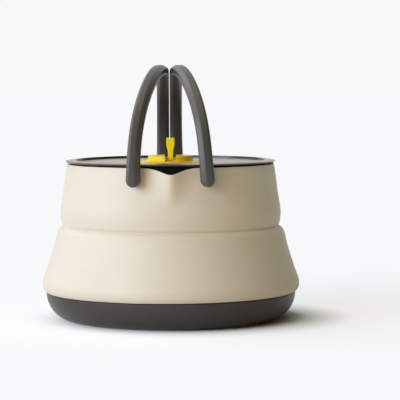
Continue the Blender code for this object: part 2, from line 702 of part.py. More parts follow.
def add_screws(lid, knob):
    """Two pan-head screws, from under the lid into the half-moon bosses."""
    head_top = PANEL_Z - PANEL_THICKNESS - FIT_GAP
    head_bottom = head_top - SCREW_HEAD_HEIGHT
    tip = KNOB_Z + SCREW_BITE
    outline = [
        (0.0, tip),
        (SCREW_RADIUS, tip),
        (SCREW_RADIUS, head_top),
        (SCREW_HEAD_RADIUS, head_top),
        (SCREW_HEAD_RADIUS, head_bottom),
        (0.0, head_bottom),
    ]
    screws = []
    for side in (-1, 1):
        label = side_name(side)
        x = side * SCREW_SPREAD
        screws.append(turned(f"knob_screw_{label}", outline, STEEL, PIN_SIDES, (x, -SCREW_OFFSET)))
        low = Vector((x, -SCREW_OFFSET, head_bottom))
        high = Vector((x, -SCREW_OFFSET, tip + FIT_GAP))
        hole = rod(f"screw_hole_{label}", low, high, SCREW_RADIUS + FIT_GAP)
        combine(lid, hole, "DIFFERENCE")
        combine(knob, hole, "DIFFERENCE")
    return screws


def make_lift_tab():
    """The tab stands up in the slot. Its lower rear corner is round, so that it can fold back."""
    foot = SLOT_FLOOR_Z + FIT_GAP
    height = TAB_PIN_Z + TAB_HEIGHT - foot
    right = []
    for up, spread in TAB_OUTLINE_SHARES:
        half = (TAB_STEM_WIDTH + (TAB_HEAD_WIDTH - TAB_STEM_WIDTH) * spread) / 2
        right.append((half, foot + height * up))
    front_y = TAB_PIN_OFFSET + TAB_EYE_RADIUS - TAB_DEPTH
    rear_y = TAB_PIN_OFFSET + TAB_EYE_RADIUS
    shape = bmesh.new()
    ring = [shape.verts.new((x, front_y, z)) for x, z in right]
    ring += [shape.verts.new((-x, front_y, z)) for x, z in reversed(right)]
    face = shape.faces.new(ring)
    pushed = bmesh.ops.extrude_face_region(shape, geom=[face])
    moved = [item for item in pushed["geom"] if isinstance(item, bmesh.types.BMVert)]
    bmesh.ops.translate(shape, verts=moved, vec=(0.0, rear_y - front_y, 0.0))
    low_rear = Vector((0.0, rear_y, foot))

    def distance(edge):
        first, second = edge.verts
        return ((first.co + second.co) / 2 - low_rear).length

    corner = min(shape.edges, key=distance)
    bmesh.ops.bevel(
        shape,
        geom=[corner],
        offset=TAB_EYE_RADIUS,
        affect="EDGES",
        segments=TAB_EYE_STEPS,
        profile=0.5,
        material=-1,
    )
    tab = add_object("lift_tab", mesh_from("lift_tab", shape), YELLOW)
    side = Vector((TAB_HEAD_WIDTH, 0.0, 0.0))
    middle = Vector((0.0, TAB_PIN_OFFSET, TAB_PIN_Z))
    bore = rod("tab_bore", middle - side, middle + side, TAB_PIN_RADIUS + PIN_CLEARANCE)
    combine(tab, bore, "DIFFERENCE")
    set_origin(tab, middle)
    return tab


def make_tab_pin():
    middle = Vector((0.0, TAB_PIN_OFFSET, TAB_PIN_Z))
    left = middle - Vector((TAB_PIN_REACH, 0.0, 0.0))
    right = middle + Vector((HALF_MOON_RADIUS - TAB_PIN_RECESS, 0.0, 0.0))
    return rod("tab_pin", left, right, TAB_PIN_RADIUS, STEEL, PIN_SIDES)


def build():
    outline = wall_outline()
    make_base_pan()
    make_lower_wall_band(outline)
    make_middle_wall_fold(outline)
    wall = make_upper_wall(outline)
    ring = make_rim_ring(outline)
    top_pieces = [wall, ring]
    for side in (-1, 1):
        pivots = Pivots(outline, side)
        for place in ("front", "rear"):
            top_pieces += add_pivot(pivots, place, ring, wall)
        top_pieces.append(make_handle(pivots))
    cut_strainer(ring)
    lid = make_lid_disc()
    knob = make_knob_base()
    lid_pieces = [lid, make_lid_gasket(), knob, make_lift_tab(), make_tab_pin()]
    lid_pieces += add_screws(lid, knob)
    collapse_axis = new_pivot("collapse_axis", Vector((0.0, 0.0, NECK_Z)))
    lid_axis = new_pivot("lid_axis", Vector((0.0, 0.0, LID_Z)))
    carry(lid_axis, lid_pieces)
    carry(collapse_axis, [*top_pieces, lid_axis])


build()
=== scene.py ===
import math

import bmesh
import bpy
from mathutils import Matrix, Vector


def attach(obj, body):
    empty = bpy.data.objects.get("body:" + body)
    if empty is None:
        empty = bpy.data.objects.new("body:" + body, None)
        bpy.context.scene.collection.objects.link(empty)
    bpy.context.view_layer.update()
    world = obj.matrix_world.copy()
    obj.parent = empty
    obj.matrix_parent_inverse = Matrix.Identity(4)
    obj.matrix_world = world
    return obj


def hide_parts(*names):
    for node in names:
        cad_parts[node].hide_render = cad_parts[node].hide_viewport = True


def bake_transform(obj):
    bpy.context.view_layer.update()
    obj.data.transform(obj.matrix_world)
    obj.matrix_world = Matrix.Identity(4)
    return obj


# Collapsible camping kettle, with its spout towards -Y.
# The dictionaries are in millimetres and degrees.
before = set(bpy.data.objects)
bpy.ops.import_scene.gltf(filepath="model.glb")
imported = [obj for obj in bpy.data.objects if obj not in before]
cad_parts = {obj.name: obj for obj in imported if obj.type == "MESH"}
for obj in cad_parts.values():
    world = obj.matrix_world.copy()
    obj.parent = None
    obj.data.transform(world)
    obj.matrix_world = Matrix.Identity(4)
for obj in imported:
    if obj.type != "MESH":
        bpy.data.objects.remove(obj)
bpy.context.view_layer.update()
mm = 0.001
weld = 0.02 * mm
crisp = 32   # an edge sharper than this isn't shaded smooth
barSides = 40
boreSides = 24
upward = Vector((0, 0, 1))
print("frame in, nodes:", len(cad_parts))


def addNode(owner, kind, **values):   # in a material or the world, values are inputs or settings
    node = owner.node_tree.nodes.new(kind)
    for key, value in values.items():
        if key in node.inputs:
            node.inputs[key].default_value = value
        else:
            setattr(node, key, value)
    return node


def join(owner, start, end):
    owner.node_tree.links.new(start, end)


def shaderInputs(material):
    return material.node_tree.nodes["Principled BSDF"].inputs


def objectPoint(material, stretch=(1, 1, 1)):
    where = addNode(material, "ShaderNodeTexCoord")
    mapping = addNode(material, "ShaderNodeMapping", Scale=stretch)
    join(material, where.outputs["Object"], mapping.inputs["Vector"])
    return mapping.outputs["Vector"]


def turnedPoint(material):   # (radius, height), so that a pattern runs in rings round the axis
    where = addNode(material, "ShaderNodeTexCoord")
    flat = addNode(material, "ShaderNodeVectorMath", operation="MULTIPLY")
    flat.inputs[1].default_value = (1, 1, 0)
    radius = addNode(material, "ShaderNodeVectorMath", operation="LENGTH")
    split = addNode(material, "ShaderNodeSeparateXYZ")
    both = addNode(material, "ShaderNodeCombineXYZ")
    join(material, where.outputs["Object"], flat.inputs[0])
    join(material, flat.outputs[0], radius.inputs[0])
    join(material, where.outputs["Object"], split.inputs[0])
    join(material, radius.outputs["Value"], both.inputs["X"])
    join(material, split.outputs["Z"], both.inputs["Y"])
    return both.outputs[0]


def noise(material, point, scale, detail, rough=0.55):
    cloud = addNode(material, "ShaderNodeTexNoise", Scale=scale, Detail=detail, Roughness=rough)
    join(material, point, cloud.inputs["Vector"])
    return cloud.outputs["Fac"]


def span(owner, value, low, high, fromLow=0.3, fromHigh=0.7):   # draws value out to low and high
    limits = {"From Min": fromLow, "From Max": fromHigh, "To Min": low, "To Max": high}
    spread = addNode(owner, "ShaderNodeMapRange", **limits)
    join(owner, value, spread.inputs["Value"])
    return spread.outputs["Result"]


def twoTone(material, value, first, second):
    mix = addNode(material, "ShaderNodeMix", data_type="RGBA")
    mix.inputs["A"].default_value = (*first, 1)
    mix.inputs["B"].default_value = (*second, 1)
    join(material, span(material, value, 0, 1), mix.inputs["Factor"])
    return mix.outputs["Result"]


def relief(material, value, strength, depth, under=None):
    bump = addNode(material, "ShaderNodeBump", Strength=strength, Distance=depth * mm)
    join(material, value, bump.inputs["Height"])
    if under:
        join(material, under, bump.inputs["Normal"])
    return bump.outputs["Normal"]


def newMaterial(name, look):   # "even" holds the sockets that are the same all over
    material = bpy.data.materials.new(name)
    material.use_nodes = True
    inputs = shaderInputs(material)
    # A viewer that can't read the nodes shows this tone.
    inputs["Base Color"].default_value = (*look["tones"][0], 1)
    for socket, value in look["even"].items():
        inputs[socket].default_value = value
    return material


def dress(material, look, tone, gloss, normal):
    inputs = shaderInputs(material)
    join(material, twoTone(material, tone, *look["tones"]), inputs["Base Color"])
    join(material, span(material, gloss, *look["roughness"]), inputs["Roughness"])
    join(material, normal, inputs["Normal"])


# Tone and roughness follow one noise. A row of the relief is a noise, its strength and its depth.
def patterned(name, look):
    material = newMaterial(name, look)
    point = objectPoint(material, look.get("stretch", (1, 1, 1)))
    drift = noise(material, point, *look["noise"])
    normal = None
    for grain, strength, depth in look["relief"]:
        normal = relief(material, noise(material, point, *grain), strength, depth, normal)
    dress(material, look, drift, drift, normal)
    return material


def turnedMetal(name, look):   # specks in the colour, and fine rings from the spinning
    material = newMaterial(name, look)
    rings = noise(material, turnedPoint(material), *look["rings"])
    speck = noise(material, objectPoint(material), *look["speck"])
    under = relief(material, speck, *look["speckRelief"])
    dress(material, look, speck, rings, relief(material, rings, *look["ringRelief"], under))
    return material


silicone = patterned("boneWhiteSilicone", {
    "tones": ((0.7, 0.625, 0.46), (0.68, 0.605, 0.44)), "roughness": (0.5, 0.6),
    "noise": (26, 2), "relief": (((2600, 2), 0.12, 0.03), ((420, 2), 0.08, 0.08)),
    "even": {"Sheen Weight": 0.3, "Sheen Roughness": 0.45},
})
anodised = turnedMetal("hardAnodisedAluminium", {
    "tones": ((0.068, 0.063, 0.057), (0.06, 0.055, 0.05)), "roughness": (0.3, 0.42),
    "rings": (5200, 2, 0.7), "ringRelief": (0.12, 0.02),
    "speck": (1500, 2), "speckRelief": (0.1, 0.03),
    "even": {"Metallic": 0.2, "Specular IOR Level": 0.1},
})
nylon = patterned("darkGreyNylon", {
    "tones": ((0.053, 0.051, 0.044), (0.047, 0.045, 0.039)), "roughness": (0.4, 0.48),
    "noise": (900, 3), "relief": (((3200, 2), 0.15, 0.04),),
    "even": {"Specular IOR Level": 0.7, "Specular Tint": (1, 0.86, 0.64, 1)},
})
lidNylon = patterned("lidNylon", {
    "tones": ((0.024, 0.02, 0.016), (0.018, 0.015, 0.012)), "roughness": (0.21, 0.26),
    "noise": (700, 3), "relief": (((3200, 2), 0.06, 0.02),),
    "even": {
        "Specular Tint": (1, 0.88, 0.7, 1),
        "Sheen Weight": 0.32, "Sheen Roughness": 0.4, "Sheen Tint": (1, 0.8, 0.55, 1),
    },
})
# The ring is dark nylon. Its near-black tones are darker still, as painted shade for the shade
# inside the spout's V.
ringNylonPaintedShade = patterned("ringNylonPaintedShade", {
    "tones": ((0.0075, 0.006, 0.0044), (0.0065, 0.005, 0.0036)), "roughness": (0.5, 0.66),
    "noise": (900, 3), "relief": (((900, 3), 0.1, 0.03),),
    "even": {"Specular IOR Level": 0.1},
})
yellowNylon = {
    "roughness": (0.34, 0.44), "noise": (300, 2), "relief": (((3000, 2), 0.12, 0.03),),
    "even": {"Specular IOR Level": 0.3},
}
knobTones = ((0.88, 0.64, 0.008), (0.85, 0.61, 0.006))
# The tab is the knob's yellow nylon, made brighter as painted light on the tab.
tabTonesWithPaintedLight = ((0.98, 0.78, 0.01), (0.95, 0.75, 0.008))
knobYellow = patterned("knobYellow", {**yellowNylon, "tones": knobTones})
tabYellowPaintedLight = patterned("tabYellowPaintedLight", {**yellowNylon, "tones": tabTonesWithPaintedLight})
steel = patterned("stainlessSteel", {
    "tones": ((0.6, 0.59, 0.57), (0.56, 0.55, 0.53)), "roughness": (0.22, 0.42),
    "noise": (2400, 3, 0.7), "stretch": (1, 1, 6), "relief": (((2400, 3, 0.7), 0.1, 0.02),),
    "even": {"Metallic": 1.0},
})
sealRubber = patterned("blackSilicone", {
    "tones": ((0.031, 0.031, 0.03), (0.025, 0.025, 0.026)), "roughness": (0.52, 0.72),
    "noise": (700, 3), "relief": (((700, 3), 0.12, 0.03),), "even": {},
})
print("materials made")


def spun(profile, steps):   # (radius, height) points turned once round the axis
    shape = bmesh.new()
    points = [shape.verts.new((radius * mm, 0, height * mm)) for radius, height in profile]
    edges = [shape.edges.new(pair) for pair in zip(points, points[1:])]
    bmesh.ops.spin(
        shape, geom=points + edges, cent=(0, 0, 0), axis=(0, 0, 1),
        angle=2 * math.pi, steps=steps, use_merge=True,
    )
    return shape


def bar(start, end, radius, sides=barSides):   # a round bar between two points
    shape = bmesh.new()
    bmesh.ops.create_cone(
        shape, cap_ends=True, segments=sides, radius1=radius * mm, radius2=radius * mm,
        depth=(end - start).length,
    )
    turn = (end - start).to_track_quat("Z", "Y").to_matrix().to_4x4()
    place = Matrix.Translation((start + end) / 2) @ turn
    bmesh.ops.transform(shape, matrix=place, verts=shape.verts)
    return shape


def box(low, high):
    shape = bmesh.new()
    bmesh.ops.create_cube(shape, size=1)
    bmesh.ops.scale(shape, vec=high - low, verts=shape.verts)
    bmesh.ops.translate(shape, vec=(low + high) / 2, verts=shape.verts)
    return shape


def finished(shape, name, material, smooth=crisp):   # the shape becomes a piece at the origin
    bmesh.ops.remove_doubles(shape, verts=shape.verts, dist=weld)
    bmesh.ops.recalc_face_normals(shape, faces=shape.faces)
    if shape.calc_volume(signed=True) < 0:
        bmesh.ops.reverse_faces(shape, faces=shape.faces)
    mesh = bpy.data.meshes.new(name)
    shape.to_mesh(mesh)
    shape.free()
    mesh.materials.append(material)
    mesh.shade_smooth()
    mesh.set_sharp_from_angle(angle=math.radians(smooth))
    piece = bpy.data.objects.new(name, mesh)
    bpy.context.scene.collection.objects.link(piece)
    return piece


def soften(piece, width, segments, angle):   # rounds the edges that are sharper than angle
    bevel = piece.modifiers.new("soft edges", "BEVEL")
    bevel.width = width * mm
    bevel.segments = segments
    bevel.limit_method = "ANGLE"
    bevel.angle_limit = math.radians(angle)
    bevel.harden_normals = False
    bevel.use_clamp_overlap = True


def cutWith(piece, shape, operation="DIFFERENCE"):   # the shape is a hidden tool, until settle
    cutter = finished(shape, f"{piece.name}Tool{len(piece.modifiers)}", steel)
    cutter.hide_render = True
    cut = piece.modifiers.new(cutter.name, "BOOLEAN")
    cut.object = cutter
    cut.operation = operation
    cut.solver = "EXACT"


def settle(piece, smooth=crisp):   # applies the piece's modifiers and removes its tools
    bpy.context.view_layer.update()
    graph = bpy.context.evaluated_depsgraph_get()
    mesh = bpy.data.meshes.new_from_object(piece.evaluated_get(graph))
    cutters = [cut.object for cut in piece.modifiers if cut.type == "BOOLEAN"]
    piece.modifiers.clear()
    piece.data = mesh
    mesh.name = piece.name
    mesh.set_sharp_from_angle(angle=math.radians(smooth))
    for cutter in cutters:
        bpy.data.objects.remove(cutter)


# In each dictionary, edge is how the sharp edges are rounded: width, segments and least angle.
pan = {
    "steps": 160, "radius": 73.6, "top": 16.4, "wall": 1.6, "cornerReach": 15.6, "cornerSteps": 14,
    "collarRadius": 71.5, "collarTop": 24.0, "bead": 0.6, "beadTop": 22.9, "beadLow": 21.9,
    "grooves": (36.0, 20.0), "grooveHalf": 1.2, "grooveDepth": 0.5, "edge": (0.45, 3, 28),
}


def cornerLine(radius, height, reach, steps):   # quarter ellipse from the side down to the flat
    turns = [math.pi / 2 * step / steps for step in range(1, steps + 1)]
    return [(radius - reach + reach * math.cos(t), height * (1 - math.sin(t))) for t in turns]


def makePan():
    top, thick, collar, steps = pan["top"], pan["wall"], pan["collarRadius"], pan["cornerSteps"]
    inside = collar - thick
    bead = collar + pan["bead"]
    hollow = cornerLine(inside, top - thick, pan["cornerReach"] - thick, steps)
    profile = [
        (0, thick), *[(radius, height + thick) for radius, height in reversed(hollow)],
        (inside, top), (inside, pan["collarTop"]), (collar, pan["collarTop"]),
        (bead, pan["beadTop"]), (bead, pan["beadLow"]), (collar, pan["beadLow"] - pan["bead"]),
        (collar, top), (pan["radius"], top),
        *cornerLine(pan["radius"], top, pan["cornerReach"], steps),
    ]
    deep = pan["grooveDepth"]
    for middle in pan["grooves"]:
        outer, inner = middle + pan["grooveHalf"], middle - pan["grooveHalf"]
        profile += [(outer, 0), (outer - deep, deep), (inner + deep, deep), (inner, 0)]
    profile.append((0, 0))
    piece = finished(spun(profile, pan["steps"]), "panShell", anodised)
    soften(piece, *pan["edge"])
    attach(piece, "base")
    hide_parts("base_pan")


makePan()
print("pan made")

pivot = {   # the handles' pins, and the bosses behind the wall that carry them
    "height": 85.1, "frontX": 20.8, "frontY": -64.008, "rearX": 4.5, "rearY": 67.304,
    "footHalf": 3.1, "stack": 1.4, "bore": 1.75,
    "boss": 3.3, "seat": 5.2, "gap": 0.3, "wallGap": 0.08,
}


def pivotEnds(side):   # both feet of one handle, each with the way into the kettle
    front = Vector((side * pivot["frontX"], pivot["frontY"], pivot["height"])) * mm
    rear = Vector((side * pivot["rearX"], pivot["rearY"], pivot["height"])) * mm
    axis = (rear - front).normalized()
    return [(front, axis), (rear, -axis)]


allPivots = pivotEnds(-1) + pivotEnds(1)

# The silicone is one moulding, from the rim down over the pan's collar.
wall = {
    "steps": 192, "thickness": 1.9, "edge": (0.55, 3, 50), "subdivisions": 1, "crisp": 40,
    "profile": (
        (60.9, 91.8), (61.23, 89.93), (61.86, 86.52), (62.5, 81.98), (62.8, 79.1), (63.09, 76.3),
        (63.6, 73.2), (64.16, 70.05), (64.84, 66.07), (65.05, 63.8), (64.95, 61.4), (64.65, 59.0),
        (64.4, 57.3), (64.15, 56.3), (63.5, 55.5), (63.6, 55.1), (65.0, 54.5), (66.4, 53.3),
        (67.2, 51.5), (67.8, 49.0), (68.5, 45.6), (70.09, 39.7), (71.3, 36.2), (72.3, 33.2),
        (72.8, 31.4), (73.2, 30.3), (74.0, 28.2), (75.1, 25.2), (75.8, 23.1), (75.93, 21.6),
        (75.88, 20.2), (75.5, 18.8), (74.8, 17.7), (73.9, 16.7),
    ),
    "foldStart": 30.0, "foldEnd": 57.5,
}
spout = {
    "rim": 91.8, "reach": 6.8, "sideShare": 0.7, "halfWidth": 13.1, "drop": 21.1, "dip": 3.65,
    "round": 2.0, "sharpness": 1.9, "fadePower": 0.72, "dipPower": 3.0, "narrowing": 0.15,
}


def spoutPull(point):   # draws the front of the wall out into a V and dips its lip
    radius = math.hypot(point.x, point.y) / mm
    if point.y > 0 or radius == 0:
        return
    fall = min(max((spout["rim"] - point.z / mm) / spout["drop"], 0), 1)
    half = spout["halfWidth"] * (1 - spout["narrowing"] * fall)
    across = math.hypot(point.x / mm, spout["round"]) - spout["round"]
    if across >= half or fall >= 1:
        return
    crest = (1 - across / half) ** spout["sharpness"]
    out = spout["reach"] * crest * (1 - fall) ** spout["fadePower"]
    down = spout["dip"] * crest * (1 - fall) ** spout["dipPower"]
    point.x *= 1 + out / radius * spout["sideShare"]
    point.y *= 1 + out / radius
    point.z -= down * mm


def wallShape():
    shape = spun(wall["profile"], wall["steps"])
    bmesh.ops.remove_doubles(shape, verts=shape.verts, dist=weld)
    turn = Matrix.Rotation(-math.pi / 2, 3, "Z")   # brings a line of points to the spout's crest
    bmesh.ops.rotate(shape, verts=shape.verts, cent=(0, 0, 0), matrix=turn)
    bmesh.ops.recalc_face_normals(shape, faces=shape.faces)
    for vert in shape.verts:
        spoutPull(vert.co)
    bmesh.ops.solidify(shape, geom=shape.faces, thickness=wall["thickness"] * mm)
    return shape


def makeWall():
    piece = finished(wallShape(), "siliconeWall", silicone, wall["crisp"])
    soften(piece, *wall["edge"])
    surface = piece.modifiers.new("smooth", "SUBSURF")
    surface.levels = surface.render_levels = wall["subdivisions"]
    for middle, inward in allPivots:
        far = middle - inward * pivot["footHalf"] * mm
        deep = middle + inward * (pivot["footHalf"] + pivot["stack"] + pivot["seat"]) * mm
        cutWith(piece, bar(far, deep, pivot["boss"] + pivot["wallGap"]))
    settle(piece, wall["crisp"])
    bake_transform(piece)
    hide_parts("lower_wall_band", "middle_wall_fold", "upper_wall")


makeWall()
print("silicone wall made")

ring = {   # inside the wall, with the handles' bosses and a strainer behind the spout
    "steps": 160, "top": 92.2, "bottom": 80.6, "mouth": 54.9, "chamfer": 0.7, "seat": 86.2,
    "relief": 82.28, "gapToWall": 2.3, "wall": 3.0, "edge": (0.2, 2, 50),
    "outline": ((60.8, 92.2), (61.23, 89.93), (61.86, 86.52), (62.5, 81.98), (62.64, 80.6)),
    "slots": 5, "pitch": 3.8, "slotHalf": 0.95, "slotLow": 81.9, "slotHigh": 85.5,
    "slotFront": -62, "slotRear": -40,
}


def makeRing():
    outer = [(radius - ring["gapToWall"], height) for radius, height in ring["outline"]]
    inner, mouth = outer[-1][0] - ring["wall"], ring["mouth"]
    profile = [
        *outer, (inner, ring["bottom"]), (inner, ring["relief"]), (mouth, ring["seat"]),
        (mouth, ring["top"] - ring["chamfer"]), (mouth + ring["chamfer"], ring["top"]), outer[0],
    ]
    piece = finished(spun(profile, ring["steps"]), "rimRing", ringNylonPaintedShade)
    for middle, inward in allPivots:
        face = middle + inward * (pivot["footHalf"] + pivot["stack"]) * mm
        root = face + inward * pivot["seat"] * mm
        cutWith(piece, bar(face, root, pivot["boss"]), "UNION")
        cutWith(piece, bar(middle, root - inward * pivot["gap"] * mm, pivot["bore"], boreSides))
    for number in range(ring["slots"]):
        x = (number - (ring["slots"] - 1) / 2) * ring["pitch"]
        low = Vector((x - ring["slotHalf"], ring["slotFront"], ring["slotLow"])) * mm
        high = Vector((x + ring["slotHalf"], ring["slotRear"], ring["slotHigh"])) * mm
        cutWith(piece, box(low, high))
    settle(piece)
    soften(piece, *ring["edge"])
    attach(piece, "upper")
    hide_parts("rim_ring")


makeRing()
print("rim ring made")

handle = {   # grip is the section's outline, in shares of half the width and half the depth
    "rise": 61.48, "width": 7.45, "depth": 6.2, "archPower": 2.3, "leanPower": 1.92, "meet": 0.33,
    "splay": 0.54, "sway": 0.5, "settle": 6, "footWide": 1.06, "stations": 60, "tangent": 0.1,
    "footRadius": 3.85, "footShares": (0.16, 0.32, 0.48, 0.62, 0.75, 0.86, 0.94, 0.985),
    "pinDepth": 3.8, "edge": (0.5, 2, 14), "crisp": 40,
    "grip": (
        (0.58, 1.0), (0.87, 0.8), (1.0, 0.42), (1.0, -0.45), (0.8, -0.85), (0.45, -1.0),
        (-0.4, -1.0), (-0.8, -0.85), (-1.0, -0.5), (-1.0, 0.34), (-0.9, 0.54), (-0.28, 1.0),
    ),
}


def barMiddle(side, turn):   # from the front foot at 0, over the lid, to the rear foot at 1
    angle = math.pi * turn
    middleY = (pivot["frontY"] + pivot["rearY"]) / 2
    halfSpan = (pivot["rearY"] - pivot["frontY"]) / 2
    along = abs(math.cos(angle)) ** (2 / handle["archPower"])
    rise = math.sin(angle) ** (2 / handle["archPower"]) if 0 < turn < 1 else 0
    y = middleY - math.copysign(halfSpan * along, math.cos(angle))
    meetY = pivot["rearY"] * handle["meet"]
    lean = max((meetY - y) / (meetY - pivot["frontY"]), 0) ** handle["leanPower"]
    # Above the feet the bars close up, and lean to the left together.
    settled = 1 - (1 - rise) ** handle["settle"]
    x = pivot["rearX"] - handle["splay"] * settled + (pivot["frontX"] - pivot["rearX"]) * lean
    x = side * x - handle["sway"] * ((1 + settled) / 2 if side < 0 else settled)
    return Vector((x, y, pivot["height"] + handle["rise"] * rise)) * mm, rise


def sectionPlace(middle, across, outward, width):   # puts the grip's outline at one station
    run = across.cross(outward)
    place = Matrix((across, outward, run)).transposed().to_4x4()
    return Matrix.Translation(middle) @ place @ Matrix.Diagonal((width, 1, 1, 1))


def footPlaces(side, turn, across, outward):   # the round end of a foot, from its pin downwards
    places = []
    for share in handle["footShares"]:
        low = barMiddle(side, turn)[0] - upward * handle["footRadius"] * share * mm
        width = handle["footWide"] * math.sqrt(1 - share ** 2)
        places.append(sectionPlace(low, across, outward, width))
    return places


def gripPlaces(side):
    axis = pivotEnds(side)[0][1]
    footAcross = Vector((axis.y, -axis.x, 0)) * side
    step = handle["tangent"] / handle["stations"]
    places = footPlaces(side, 0, footAcross, -axis)[::-1]
    for station in range(handle["stations"] + 1):
        turn = station / handle["stations"]
        middle, rise = barMiddle(side, turn)
        ahead = barMiddle(side, min(turn + step, 1))[0]
        behind = barMiddle(side, max(turn - step, 0))[0]
        run = (ahead - behind).normalized()
        across = footAcross.lerp(Vector((side, 0, 0)), rise)
        across = (across - run * across.dot(run)).normalized()
        width = 1 + (handle["footWide"] - 1) * (1 - rise) ** handle["settle"]
        places.append(sectionPlace(middle, across, run.cross(across) * -side, width))
    return places + footPlaces(side, 1, footAcross, axis)


def makeHandle(side, name, node, body):
    shape = bmesh.new()
    half = Vector((handle["width"] / 2, handle["depth"] / 2, 0)) * mm
    corners = [shape.verts.new((wide * half.x, deep * half.y, 0)) for wide, deep in handle["grip"]]
    edges = [shape.edges.new((corners[index - 1], corners[index])) for index in range(len(corners))]
    places = gripPlaces(side)
    bmesh.ops.transform(shape, matrix=places[0], verts=corners)
    bmesh.ops.contextual_create(shape, geom=edges)
    for before, place in zip(places, places[1:]):
        pushed = bmesh.ops.extrude_edge_only(shape, edges=edges)["geom"]
        corners = [item for item in pushed if isinstance(item, bmesh.types.BMVert)]
        edges = [item for item in pushed if isinstance(item, bmesh.types.BMEdge)]
        edges = [edge for edge in edges if all(vert in corners for vert in edge.verts)]
        bmesh.ops.transform(shape, matrix=place @ before.inverted(), verts=corners)
    bmesh.ops.contextual_create(shape, geom=edges)
    piece = finished(shape, name, nylon)
    soften(piece, *handle["edge"])
    for middle, inward in pivotEnds(side):
        face = middle + inward * pivot["footHalf"] * mm
        start = face - inward * handle["pinDepth"] * mm
        cutWith(piece, bar(start, face + inward * mm, pivot["bore"], boreSides))
    settle(piece, handle["crisp"])
    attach(piece, body)
    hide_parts(node)


makeHandle(-1, "leftHandle", "left_handle", "left_bail")
makeHandle(1, "rightHandle", "right_handle", "right_bail")
print("handles made")

lid = {
    "steps": 160, "panel": 55.8, "panelZ": 92.8, "panelLow": 90.7, "slope": 0.2,
    "flange": (
        (55.8, 94.1), (56.2, 94.2), (56.5, 94.18), (61.2, 93.72),
        (61.5, 93.65), (61.8, 93.45), (61.7, 93.1), (60.9, 92.6),
    ),
    "skirt": 54.3, "skirtWall": 3.2, "skirtLow": 86.8,
    "grooveTop": 91.0, "grooveLow": 88.2, "grooveDepth": 1.4, "edge": (0.12, 3, 50),
}
gasket = {
    "steps": 160, "inner": 53.2, "outer": 54.0, "lip": 54.6, "top": 90.7, "low": 88.5,
    "edge": (0.1, 2, 28),
}
screws = {
    "x": 8.0, "y": -5.5, "hole": 1.5,
    "lidLow": 88, "lidTop": 94, "knobLow": 90, "knobTop": 95.5,
}


def cutScrewHoles(piece, low, top):
    for x in (-screws["x"], screws["x"]):
        start, end = (Vector((x, screws["y"], height)) * mm for height in (low, top))
        cutWith(piece, bar(start, end, screws["hole"], boreSides))


def makeLid():
    skirt, low = lid["skirt"], lid["skirtLow"]
    inner = skirt - lid["skirtWall"]
    groove = skirt - lid["grooveDepth"]
    profile = [
        (0, lid["panelZ"]), (lid["panel"] - lid["slope"], lid["panelZ"]), *lid["flange"],
        (skirt, lid["flange"][-1][1]), (skirt, lid["grooveTop"]), (groove, lid["grooveTop"]),
        (groove, lid["grooveLow"]), (skirt, lid["grooveLow"]), (skirt, low), (inner, low),
        (inner, lid["panelLow"]), (0, lid["panelLow"]),
    ]
    piece = finished(spun(profile, lid["steps"]), "lidDisc", lidNylon)
    cutScrewHoles(piece, screws["lidLow"], screws["lidTop"])
    settle(piece)
    soften(piece, *lid["edge"])
    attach(piece, "lid")
    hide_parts("lid_disc")


def makeGasket():   # two ribs round its outside, in eighths of its height
    inner, outer, lip = gasket["inner"], gasket["outer"], gasket["lip"]
    top, low = gasket["top"], gasket["low"]
    middle, rib = (top + low) / 2, (top - low) / 8
    profile = [
        (inner, top), (outer, top), (outer, middle + 3 * rib), (lip, middle + 2 * rib),
        (outer, middle + rib), (outer, middle - rib), (lip, middle - 2 * rib),
        (outer, middle - 3 * rib), (outer, low), (inner, low), (inner, top),
    ]
    piece = finished(spun(profile, gasket["steps"]), "lidSeal", sealRubber)
    soften(piece, *gasket["edge"])
    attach(piece, "lid")
    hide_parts("lid_gasket")


makeLid()
makeGasket()
print("lid made")

knob = {   # a round plate with two half-moon bosses, and the tab's slot between them
    "steps": 96, "plate": 19.8, "low": 92.0, "plateTop": 93.5, "plateEdge": 93.05,
    "moon": 13.2, "moonTop": 96.4, "edge": (0.3, 3, 50),
    "slotHalf": 3.25, "slotFloor": 93.1, "slotPast": 0.3, "slotAbove": 2.0,
    "boreFrom": -8.3, "boreTo": 16,
}
tab = {   # outline goes up the right side, in shares of the height and of the head's spread
    "pinY": 1.0, "pinZ": 94.9, "bore": 0.85, "boreHalf": 4, "foot": 93.5, "height": 13.3,
    "front": -2.6, "rear": 2.4, "stem": 3.1, "head": 4.8,
    "heel": 1.4, "heelSteps": 10, "edge": (0.3, 3, 50),
    "outline": ((0.0, 0.0), (0.42, 0.0), (0.52, 0.3), (0.62, 0.85), (0.7, 1.0), (1.0, 1.0)),
}


def cutPinBore(piece, first, last):
    start, end = (Vector((x, tab["pinY"], tab["pinZ"])) * mm for x in (first, last))
    cutWith(piece, bar(start, end, tab["bore"], boreSides))


def makeKnob():
    profile = [
        (0, knob["moonTop"]), (knob["moon"], knob["moonTop"]), (knob["moon"], knob["plateTop"]),
        (knob["plate"], knob["plateEdge"]), (knob["plate"], knob["low"]), (0, knob["low"]),
    ]
    piece = finished(spun(profile, knob["steps"]), "knobBase", knobYellow)
    reach = knob["moon"] + knob["slotPast"]
    low = Vector((-knob["slotHalf"], -reach, knob["slotFloor"])) * mm
    high = Vector((knob["slotHalf"], reach, knob["moonTop"] + knob["slotAbove"])) * mm
    cutWith(piece, box(low, high))
    cutPinBore(piece, knob["boreFrom"], knob["boreTo"])
    cutScrewHoles(piece, screws["knobLow"], screws["knobTop"])
    settle(piece)
    soften(piece, *knob["edge"])
    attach(piece, "lid")
    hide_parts("knob_base")


